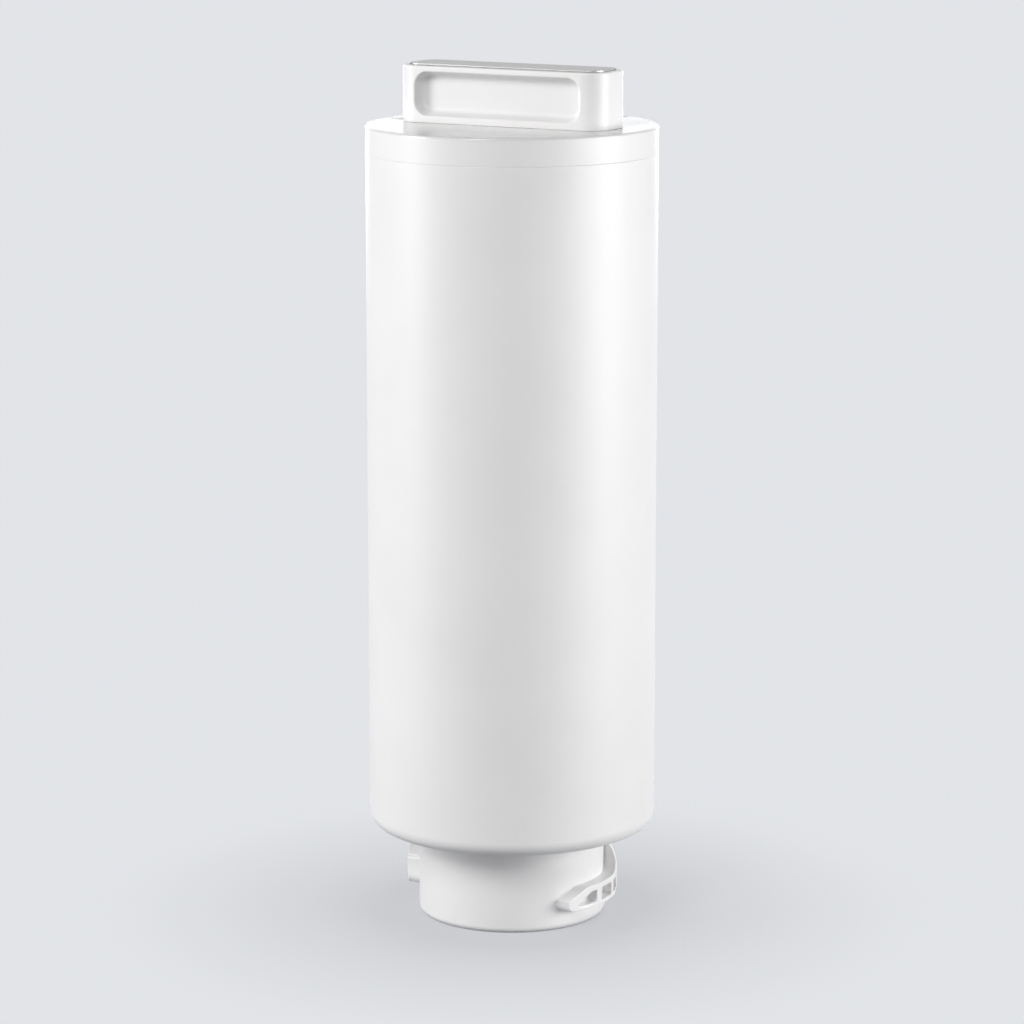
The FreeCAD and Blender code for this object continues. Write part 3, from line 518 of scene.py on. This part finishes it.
def make_stem():
    """Three tubes one inside the other, each a closed profile turned about the axis, and the webs
    between them. A profile goes up the tube's outside, past its ring grooves, and down its bore."""
    feed_bore, feed, flange, flange_top = 21.9, 24.5, 31.0, 44.0
    concentrate_bore, concentrate, concentrate_top = 13.0, 16.0, 54
    permeate_bore, permeate, permeate_top = 5.0, 8.0, 66
    profiles = [
        [(feed_bore, 21.5, 0.4), (feed - 1, 21.5, 0.3), (feed, 22.5, 0.3), *ring_groove("feed_ring", feed),
         (feed, FLOOR_TOP, 0.3), (flange, FLOOR_TOP, 0.3), (flange, flange_top, 0.5),
         (feed_bore, flange_top, 0.4)],
        [(concentrate_bore, 13.5, 0.4), (concentrate - 1, 13.5, 0.3), (concentrate, 14.5, 0.3),
         *ring_groove("concentrate_ring", concentrate), (concentrate, concentrate_top, 0.3),
         (concentrate - 1, concentrate_top, 0.3), (concentrate_bore, concentrate_top, 0.3)],
        [(permeate_bore, 2.0, 0.4), (permeate - 1, 2.0, 0.3), (permeate, 3.0, 0.3),
         *ring_groove("permeate_ring_lower", permeate), *ring_groove("permeate_ring_upper", permeate),
         (permeate, permeate_top, 0.3), (permeate_bore, permeate_top, 0.3)],
    ]
    patches = [turned(rounded(corners, step=20)[0], TUBE_POINTS) for corners in profiles]
    for inner, outer, low, high in ((15.4, 22.5, 24.5, flange_top), (7.4, 13.6, 16.5, 47.0)):
        for quarter in range(4):
            patches += web(inner, outer, low, high, quarter)
    return make_piece("port_tubes", patches, "natural_polypropylene", "port_stem")


def make_ring(name):
    """Sealing ring: a circle of section carried round the axis, at its node's place."""
    low, high = node_box(name)
    half = (high[2] - low[2]) / 2
    profile = circle(high[0] - half, (low[2] + high[2]) / 2, half, 20)
    return make_piece(name + "_round", [turned(profile, TUBE_POINTS)], "black_rubber", name)


# Materials, and the functions that they share.

def linear(colour):
    """Linear red, green, blue and alpha of an sRGB colour written in hex."""
    channels = [int(colour[i:i + 2], 16) / 255 for i in (1, 3, 5)]
    return [c / 12.92 if c <= 0.04045 else ((c + 0.055) / 1.055) ** 2.4 for c in channels] + [1.0]


def add(tree, kind, given=(), **settings):
    """Adds a node with its settings. `given` pairs its inputs with values or with other nodes' outputs."""
    node = tree.nodes.new("ShaderNode" + kind)
    for name, setting in settings.items():
        setattr(node, name, setting)
    for key, content in dict(given).items():
        if isinstance(content, bpy.types.NodeSocket):
            tree.links.new(content, node.inputs[key])
        else:
            node.inputs[key].default_value = content
    return node


def every(size):
    """Scale at which a pattern repeats about every so many millimetres."""
    return 1 / (size * METRES)


def new_material(name):
    material = bpy.data.materials.new(name)
    material.use_nodes = True
    material.node_tree.nodes.clear()
    return material, material.node_tree


def polypropylene(name, light, dark, roughness, grain):
    """Moulded polypropylene: a waxy satin white, with slow drifts in tone where the melt has flowed and
    a fine spark-eroded grain that softens its highlights. The grain is about 0.1 mm on the real
    thing, and is drawn coarser so that it shows."""
    material, tree = new_material(name)
    place = add(tree, "TexCoord").outputs["Object"]
    drift = add(tree, "TexNoise", {"Vector": place, "Scale": every(45), "Detail": 3.0, "Roughness": 0.55})
    speckle = add(tree, "TexNoise", {"Vector": place, "Scale": every(0.45), "Detail": 2.0, "Roughness": 0.6})
    tone = add(tree, "ValToRGB", {"Fac": drift.outputs["Fac"]})
    low, high = tone.color_ramp.elements
    low.color, high.color = linear(dark), linear(light)
    low.position, high.position = 0.3, 0.62
    sheen = add(tree, "MapRange", {"Value": drift.outputs["Fac"], "From Min": 0.3, "From Max": 0.7,
                                   "To Min": roughness - 0.02, "To Max": roughness + 0.03})
    bump = add(tree, "Bump", {"Height": speckle.outputs["Fac"], "Strength": grain, "Distance": 0.02 * METRES})
    shader = add(tree, "BsdfPrincipled", {
        "Base Color": tone.outputs["Color"], "Roughness": sheen.outputs["Result"], "IOR": 1.49,
        "Normal": bump.outputs["Normal"],
    })
    add(tree, "OutputMaterial", {"Surface": shader.outputs["BSDF"]})
    return material


def brushed_film():
    """Aluminium film, brushed along the grip: fine long streaks catch the light one by one. They are
    about 0.1 mm apart on the real one, and are drawn 0.6 mm apart so that they show. The tint that it
    takes at a low angle is its clear coat's, and keeps the strip grey there."""
    material, tree = new_material("brushed_aluminium_film")
    place = add(tree, "TexCoord").outputs["Object"]
    along = add(tree, "Mapping", {"Vector": place, "Scale": (1 / 50, 1, 1)})
    streak = add(tree, "TexNoise", {"Vector": along.outputs["Vector"], "Scale": every(0.6), "Detail": 3.0})
    tone = add(tree, "ValToRGB", {"Fac": streak.outputs["Fac"]})
    low, high = tone.color_ramp.elements
    low.color, high.color = linear("#b4b3b2"), linear("#cccbca")
    low.position, high.position = 0.35, 0.65
    bump = add(tree, "Bump", {"Height": streak.outputs["Fac"], "Strength": 0.1, "Distance": 0.02 * METRES})
    shader = add(tree, "BsdfPrincipled", {
        "Base Color": tone.outputs["Color"], "Metallic": 1.0, "Roughness": 0.35,
        "Specular Tint": linear("#bab9b8"), "Normal": bump.outputs["Normal"],
    })
    add(tree, "OutputMaterial", {"Surface": shader.outputs["BSDF"]})
    return material


def rubber():
    """Black EPDM rubber, moulded: nearly black, with a dull sheen and a faint bloom of its wax."""
    material, tree = new_material("black_epdm_rubber")
    place = add(tree, "TexCoord").outputs["Object"]
    bloom = add(tree, "TexNoise", {"Vector": place, "Scale": every(3), "Detail": 4.0})
    tone = add(tree, "ValToRGB", {"Fac": bloom.outputs["Fac"]})
    low, high = tone.color_ramp.elements
    low.color, high.color = linear("#1b1b1c"), linear("#2b2b2c")
    shader = add(tree, "BsdfPrincipled", {"Base Color": tone.outputs["Color"], "Roughness": 0.5, "IOR": 1.52})
    add(tree, "OutputMaterial", {"Surface": shader.outputs["BSDF"]})
    return material


def steel():
    """Stainless steel, turned: a grey metal whose shine breaks up over tool marks about 0.2 mm apart."""
    material, tree = new_material("turned_stainless_steel")
    place = add(tree, "TexCoord").outputs["Object"]
    marks = add(tree, "TexNoise", {"Vector": place, "Scale": every(0.2), "Detail": 2.0})
    rough = add(tree, "MapRange", {"Value": marks.outputs["Fac"], "To Min": 0.22, "To Max": 0.4})
    shader = add(tree, "BsdfPrincipled", {
        "Base Color": linear("#b4b3b0"), "Metallic": 1.0, "Roughness": rough.outputs["Result"]})
    add(tree, "OutputMaterial", {"Surface": shader.outputs["BSDF"]})
    return material


def wound_membrane():
    """Wound membrane leaves and feed net: off-white, with the net's openings about 2.5 mm apart."""
    material, tree = new_material("wound_membrane_and_net")
    place = add(tree, "TexCoord").outputs["Object"]
    net = add(tree, "TexVoronoi", {"Vector": place, "Scale": every(2.5)}, feature="DISTANCE_TO_EDGE")
    tone = add(tree, "ValToRGB", {"Fac": net.outputs["Distance"]})
    low, high = tone.color_ramp.elements
    low.color, high.color = linear("#c9c9be"), linear("#e6e5dc")
    high.position = 0.2
    bump = add(tree, "Bump", {"Height": net.outputs["Distance"], "Strength": 0.3, "Distance": 0.2 * METRES})
    shader = add(tree, "BsdfPrincipled", {
        "Base Color": tone.outputs["Color"], "Roughness": 0.6, "Normal": bump.outputs["Normal"]})
    add(tree, "OutputMaterial", {"Surface": shader.outputs["BSDF"]})
    return material


def tape():
    """Polyester tape wound round the roll: pale blue and smooth, its tone rising slowly up the roll. The
    tape is 48 mm wide, and the wave repeats after 2 pi of these widths, about 300 mm, so it rises once."""
    material, tree = new_material("polyester_wrap_tape")
    place = add(tree, "TexCoord").outputs["Object"]
    rise = add(tree, "TexWave", {"Vector": place, "Scale": every(48) / 20, "Distortion": 0.3},
               wave_type="BANDS", bands_direction="Z", wave_profile="SAW")
    tone = add(tree, "ValToRGB", {"Fac": rise.outputs["Fac"]})
    low, high = tone.color_ramp.elements
    low.color, high.color = linear("#c4d2de"), linear("#d6e0e8")
    shader = add(tree, "BsdfPrincipled", {"Base Color": tone.outputs["Color"], "Roughness": 0.3, "IOR": 1.57})
    add(tree, "OutputMaterial", {"Surface": shader.outputs["BSDF"]})
    return material


# Studio: surroundings, floor, camera and lamps.

BACKGROUND = "#e2e4e8"
WORLD_LEVEL = 0.03

# Floor: half its side. How near the cartridge shades it, the share of open sky at which the wide shade is
# full and its tone, the share below which the contact line starts and its tone. The share of the lamps'
# own light and shadow at the neck, and the distance over which it fades.
FLOOR_HALF = 12000
SHADE_REACH, SHADE_FULL, SHADE = 110, 0.6, 0.78
CONTACT_START, CONTACT_SHADE = 0.3, 0.35
LIT_SHARE, LIT_FADE = 0.1, 200

# Camera: its turn from +X, its distance from the axis, its height, and the height that it looks at.
CAMERA_TURN, CAMERA_AWAY, CAMERA_HEIGHT, CAMERA_AIM = math.radians(-60.84), 1450.8, 444.5, 156.7
LENS, SENSOR, NEAREST, FARTHEST = 136.02, 36.0, 50, 50000

# Lamps: name, degrees to the right of the camera, distance from the axis, height, the lamp's own width
# and height, and watts. The key is the large high one that shades the front softly. The low ones at the
# sides make the bright bands down the body and keep its edges pale. The last two stand behind: a low one
# lights the back, and a dim card above it is what the lid's polished top mirrors.
LAMP_AIM = 160
LAMPS = [
    ("key_softbox", -30, 5200, 4300, 1830, 2800, 209.0),
    ("left_softbox", -80, 1300, 480, 458, 760, 11.1),
    ("right_front_softbox", 60, 1300, 320, 458, 640, 5.2),
    ("right_softbox", 80, 1300, 270, 458, 540, 8.2),
    ("right_rear_softbox", 108, 1300, 270, 458, 540, 1.3),
    ("backdrop_softbox", 180, 1500, 190, 1300, 180, 6.0),
    ("backdrop_card", 180, 1500, 660, 1800, 500, 2.7),
]


def sees_background(tree):
    """1 for the camera's rays and for those that gloss or clear plastic sends on, 0 for scattered ones."""
    rays = add(tree, "LightPath").outputs
    gloss = add(tree, "Math", {0: rays["Is Camera Ray"], 1: rays["Is Glossy Ray"]}, operation="MAXIMUM")
    either = add(tree, "Math", {0: gloss.outputs[0], 1: rays["Is Transmission Ray"]}, operation="MAXIMUM")
    return either.outputs[0]


def pale_floor():
    """Matt painted studio floor: the even pale background, with a wide soft shade and a dark contact line
    where the cartridge stands close over it, and near the neck a little of the lamps' own light and
    shadow. For scattered rays it is a mid grey, so that little light comes up from it."""
    material, tree = new_material("matt_painted_floor")
    place = add(tree, "TexCoord").outputs["Object"]
    cloud = add(tree, "TexNoise", {"Vector": place, "Scale": every(900), "Detail": 2.0})
    tone = add(tree, "ValToRGB", {"Fac": cloud.outputs["Fac"]})
    low, high = tone.color_ramp.elements
    low.color, high.color = linear("#d6d8dc"), linear("#d8dade")
    lit = add(tree, "BsdfDiffuse", {"Color": tone.outputs["Color"]})
    open_sky = add(tree, "AmbientOcclusion", {"Distance": SHADE_REACH * METRES}, samples=16).outputs["AO"]
    shade = add(tree, "MapRange", {"Value": open_sky, "From Min": SHADE_FULL, "To Min": SHADE})
    contact = add(tree, "MapRange", {"Value": open_sky, "From Max": CONTACT_START, "To Min": CONTACT_SHADE})
    level = add(tree, "Math", {0: shade.outputs["Result"], 1: contact.outputs["Result"]},
                operation="MULTIPLY")
    even = add(tree, "Emission", {"Color": linear(BACKGROUND), "Strength": level.outputs[0]})
    scaled = add(tree, "Mapping", {"Vector": place, "Scale": (every(LIT_FADE),) * 3})
    near = add(tree, "TexGradient", {"Vector": scaled.outputs["Vector"]}, gradient_type="SPHERICAL")
    share = add(tree, "MapRange", {"Value": near.outputs["Fac"], "From Max": 0.8, "To Max": LIT_SHARE},
                interpolation_type="SMOOTHSTEP")
    seen = add(tree, "MixShader", {0: share.outputs["Result"], 1: even.outputs["Emission"],
                                   2: lit.outputs["BSDF"]})
    bounce = add(tree, "BsdfDiffuse", {"Color": linear("#96989c")})
    mix = add(tree, "MixShader", {0: sees_background(tree), 1: bounce.outputs["BSDF"],
                                  2: seen.outputs["Shader"]})
    add(tree, "OutputMaterial", {"Surface": mix.outputs["Shader"]})
    return material


def make_floor():
    mesh = bpy.data.meshes.new("studio_floor")
    half = FLOOR_HALF * METRES
    mesh.from_pydata([(-half, -half, 0), (half, -half, 0), (half, half, 0), (-half, half, 0)], [],
                     [(0, 1, 2, 3)])
    floor = bpy.data.objects.new("studio_floor", mesh)
    floor.location.z = cad_box[0][2]
    bpy.context.scene.collection.objects.link(floor)
    mesh.materials.append(pale_floor())


def make_world():
    """Even pale surroundings: the camera sees the background's colour, the object a plain level."""
    world = bpy.data.worlds.new("studio")
    bpy.context.scene.world = world
    world.use_nodes = True
    tree = world.node_tree
    tree.nodes.clear()
    lit = add(tree, "Background", {"Color": linear("#ffffff"), "Strength": WORLD_LEVEL})
    seen = add(tree, "Background", {"Color": linear(BACKGROUND), "Strength": 1.0})
    mix = add(tree, "MixShader", {0: sees_background(tree), 1: lit.outputs["Background"],
                                  2: seen.outputs["Background"]})
    add(tree, "OutputWorld", {"Surface": mix.outputs["Shader"]})


def stand(thing, turn, away, height, aim):
    """Puts a camera or lamp at a turn, distance and height, looking at a height on the axis."""
    place = Vector((away * math.cos(turn), away * math.sin(turn), height)) * METRES
    thing.location = place
    thing.rotation_euler = (Vector((0, 0, aim)) * METRES - place).to_track_quat("-Z", "Y").to_euler()
    bpy.context.scene.collection.objects.link(thing)


def make_camera():
    """Camera at the photograph's viewing angle, looking slightly down."""
    data = bpy.data.cameras.new("camera")
    data.lens, data.sensor_width = LENS, SENSOR
    data.clip_start, data.clip_end = NEAREST * METRES, FARTHEST * METRES
    camera = bpy.data.objects.new("camera", data)
    stand(camera, CAMERA_TURN, CAMERA_AWAY, CAMERA_HEIGHT, CAMERA_AIM)
    bpy.context.scene.camera = camera


def make_softbox(name, side, away, height, width, tall, watts):
    """Soft rectangular lamp that the camera doesn't see, turned to the object."""
    data = bpy.data.lights.new(name, "AREA")
    data.shape, data.size, data.size_y = "RECTANGLE", width * METRES, tall * METRES
    data.energy = watts
    lamp = bpy.data.objects.new(name, data)
    lamp.visible_camera = False
    stand(lamp, CAMERA_TURN + math.radians(side), away, height, LAMP_AIM)


# Finishes given to the pieces.

def dress(piece, material):
    piece.data.materials.clear()
    piece.data.materials.append(material)


def refinish(piece, material, chosen):
    """Gives a second material to the faces whose middles (x, y, z in mm) a test picks."""
    piece.data.materials.append(material)
    middles = np.empty(3 * len(piece.data.polygons), np.float32)
    piece.data.polygons.foreach_get("center", middles)
    picked = chosen(middles.reshape(-1, 3) / METRES)
    piece.data.polygons.foreach_set("material_index", picked.astype(np.int32))


def on_top_of_lid(middles):
    """From nearly the foot of the lid's rounded edge upwards."""
    return middles[:, 2] > CAP_HIGH[2] - 1.25


def in_finger_recess(middles):
    """Behind the grip's long sides, and between its foot and its rim."""
    x, y, z = np.abs(middles[:, 0]), np.abs(middles[:, 1]), middles[:, 2]
    behind = (y < GRIP_HIGH[1] - 0.6) & (y > GRIP_HIGH[1] - RECESS_DEEP - 0.6)
    return behind & (x < RECESS_HALF + 2.25) & (z > GRIP_LOW[2] + 1) & (z < GRIP_RIM - 1.2)


bpy.context.scene.view_settings.view_transform = "Standard"

# The body's own white: satin, so that the lamps make wide soft bands down it.
white = polypropylene("moulded_white_polypropylene", "#f1f0f0", "#eeedec", 0.40, 0.35)
# The stem and the parts round the roll, moulded without pigment: milky and a little yellow.
natural = polypropylene("moulded_natural_polypropylene", "#e9e9e4", "#e2e2dc", 0.42, 0.2)
black, metal, film, roll, wrap = rubber(), steel(), brushed_film(), wound_membrane(), tape()
# The lid's top, from a polished mould: nearly without grain, it mirrors the grip and what stands behind.
# Its white, a little darker than the body's, is painted shade.
polished_painted_shade = polypropylene("polished_white_polypropylene_painted_shade", "#e3e2e2", "#e0dfdf", 0.13, 0.05)
# The lugs, moulded against a slide: more gloss, so that their edges look crisp, and a brighter white that is
# painted light.
sharp_painted_light = polypropylene("sharp_white_polypropylene_painted_light", "#f8f7f7", "#f6f5f5", 0.30, 0.35)
# The finger recesses, from a grained mould: an even tone without highlights, slightly darker as painted shade
# in the hollow.
grained_painted_shade = polypropylene("grained_white_polypropylene_painted_shade", "#e9e8e8", "#e6e5e5", 0.42, 0.6)

lid, grip = make_lid(), make_grip()
for piece in (make_barrel_shell(), lid, grip):
    dress(piece, white)
# The lugs' brighter white is painted light.
dress(make_bayonet_lugs(), sharp_painted_light)
# Painted shade on the lid's top.
refinish(lid, polished_painted_shade, on_top_of_lid)
# Painted shade in the finger recesses.
refinish(grip, grained_painted_shade, in_finger_recess)
dress(make_cover_strip(), film)
dress(make_stem(), natural)
for name in ("feed_ring", "concentrate_ring", "permeate_ring_lower", "permeate_ring_upper",
             "socket_ring", "tube_ring", "plug_ring", "flange_ring"):
    dress(make_ring(name), black)
for name, material in (("grip_screws", metal), ("lower_end_cap", natural), ("upper_end_cap", natural),
                       ("permeate_tube", natural), ("tube_plug", natural), ("membrane_roll", roll),
                       ("roll_wrap", wrap)):
    dress(NODES[name], material)

make_floor()
make_world()
make_camera()
for lamp in LAMPS:
    make_softbox(*lamp)
